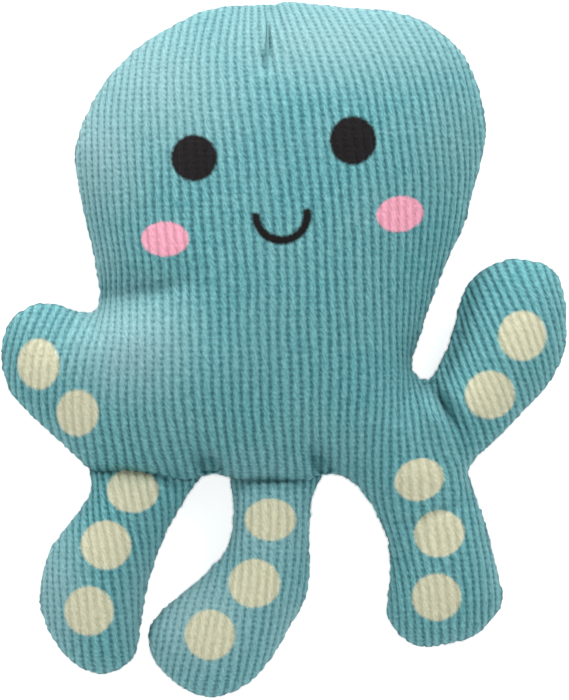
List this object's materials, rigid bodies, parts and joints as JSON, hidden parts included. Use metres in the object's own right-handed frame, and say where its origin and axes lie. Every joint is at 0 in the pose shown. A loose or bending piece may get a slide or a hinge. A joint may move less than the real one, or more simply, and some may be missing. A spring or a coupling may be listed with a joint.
{
  "type": "plush octopus",
  "caption": "Stuffed toy octopus in ribbed plush with a rounded head, raised arms and curved legs sewn on so that they bend at the root; it rests on its back, face up.",
  "frame": {"origin": "centre of the toy's bounding box in plan, at the flat on its back that it lies on", "axes": "+X to the viewer's right across the face, +Y from the feet to the crown, +Z out of the face, up from the surface it lies on"},
  "size_m": [0.1942, 0.239, 0.057],
  "materials": {
    "ribbed_plush": "soft ribbed pile",
    "fibre_filling": "loose fibre",
    "sewing_thread": "twisted thread"
  },
  "bodies": {
    "body": {"body_front_panel": "ribbed_plush", "body_back_panel": "ribbed_plush", "body_filling": "fibre_filling", "body_seam_thread": "sewing_thread", "closing_thread": "sewing_thread", "crown_dart_thread": "sewing_thread"},
    "left_arm": {"left_arm_front_panel": "ribbed_plush", "left_arm_back_panel": "ribbed_plush", "left_arm_filling": "fibre_filling", "left_arm_seam_thread": "sewing_thread"},
    "right_arm": {"right_arm_front_panel": "ribbed_plush", "right_arm_back_panel": "ribbed_plush", "right_arm_filling": "fibre_filling", "right_arm_seam_thread": "sewing_thread"},
    "left_leg": {"left_leg_front_panel": "ribbed_plush", "left_leg_back_panel": "ribbed_plush", "left_leg_filling": "fibre_filling", "left_leg_seam_thread": "sewing_thread", "left_leg_root_thread": "sewing_thread"},
    "middle_leg": {"middle_leg_front_panel": "ribbed_plush", "middle_leg_back_panel": "ribbed_plush", "middle_leg_filling": "fibre_filling", "middle_leg_seam_thread": "sewing_thread", "middle_leg_root_thread": "sewing_thread"},
    "right_leg": {"right_leg_front_panel": "ribbed_plush", "right_leg_back_panel": "ribbed_plush", "right_leg_filling": "fibre_filling", "right_leg_seam_thread": "sewing_thread"}
  },
  "joints": [
    {"name": "left_arm_root", "type": "hinge", "parent": "body", "child": "left_arm", "pos_m": [-0.06614, -0.01518, 0.0215], "axis": [-0.0315, 0.9995, 0], "range_deg": [0, 60], "stiffness_Nm_per_rad": 0.02},
    {"name": "right_arm_root", "type": "hinge", "parent": "body", "child": "right_arm", "pos_m": [0.05662, -0.02562, 0.0215], "axis": [0.456, -0.89, 0], "range_deg": [0, 60], "stiffness_Nm_per_rad": 0.02},
    {"name": "left_leg_root", "type": "hinge", "parent": "body", "child": "left_leg", "pos_m": [-0.04694, -0.04422, 0.0215], "axis": [-0.9971, 0.0762, 0], "range_deg": [0, 55], "stiffness_Nm_per_rad": 0.02},
    {"name": "middle_leg_root", "type": "hinge", "parent": "body", "child": "middle_leg", "pos_m": [-0.00206, -0.04614, 0.0215], "axis": [-0.9999, -0.0153, 0], "range_deg": [0, 55], "stiffness_Nm_per_rad": 0.02},
    {"name": "right_leg_root", "type": "hinge", "parent": "body", "child": "right_leg", "pos_m": [0.04342, -0.04278, 0.0215], "axis": [-0.9932, -0.1168, 0], "range_deg": [0, 60], "stiffness_Nm_per_rad": 0.02}
  ]
}
